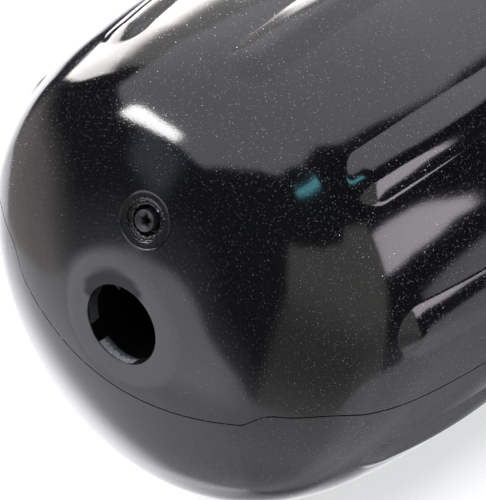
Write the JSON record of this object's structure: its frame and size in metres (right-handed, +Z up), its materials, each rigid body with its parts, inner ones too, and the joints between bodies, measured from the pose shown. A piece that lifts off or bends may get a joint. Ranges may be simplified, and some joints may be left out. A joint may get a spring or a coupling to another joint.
{
  "type": "pneumatic boat fender",
  "caption": "Cylindrical inflatable fender with domed ends, ten long low ribs, a rope hole through the middle and a flush needle valve in one end.",
  "frame": {"origin": "centre of the bounding box's bottom: the fender lies on its side on the smooth land between its two lowest ribs", "axes": "X along the rope hole with the valve end at -X, Z up"},
  "size_m": [0.56, 0.1686, 0.1646],
  "materials": {
    "black_vinyl": "glossy moulded marine vinyl with a fine pale fleck",
    "valve_rubber": "semi-gloss moulded housing",
    "plug_rubber": "matt soft rubber"
  },
  "bodies": {
    "root": {"fender_body": "black_vinyl", "valve_housing": "valve_rubber", "valve_plug": "plug_rubber"}
  },
  "joints": []
}
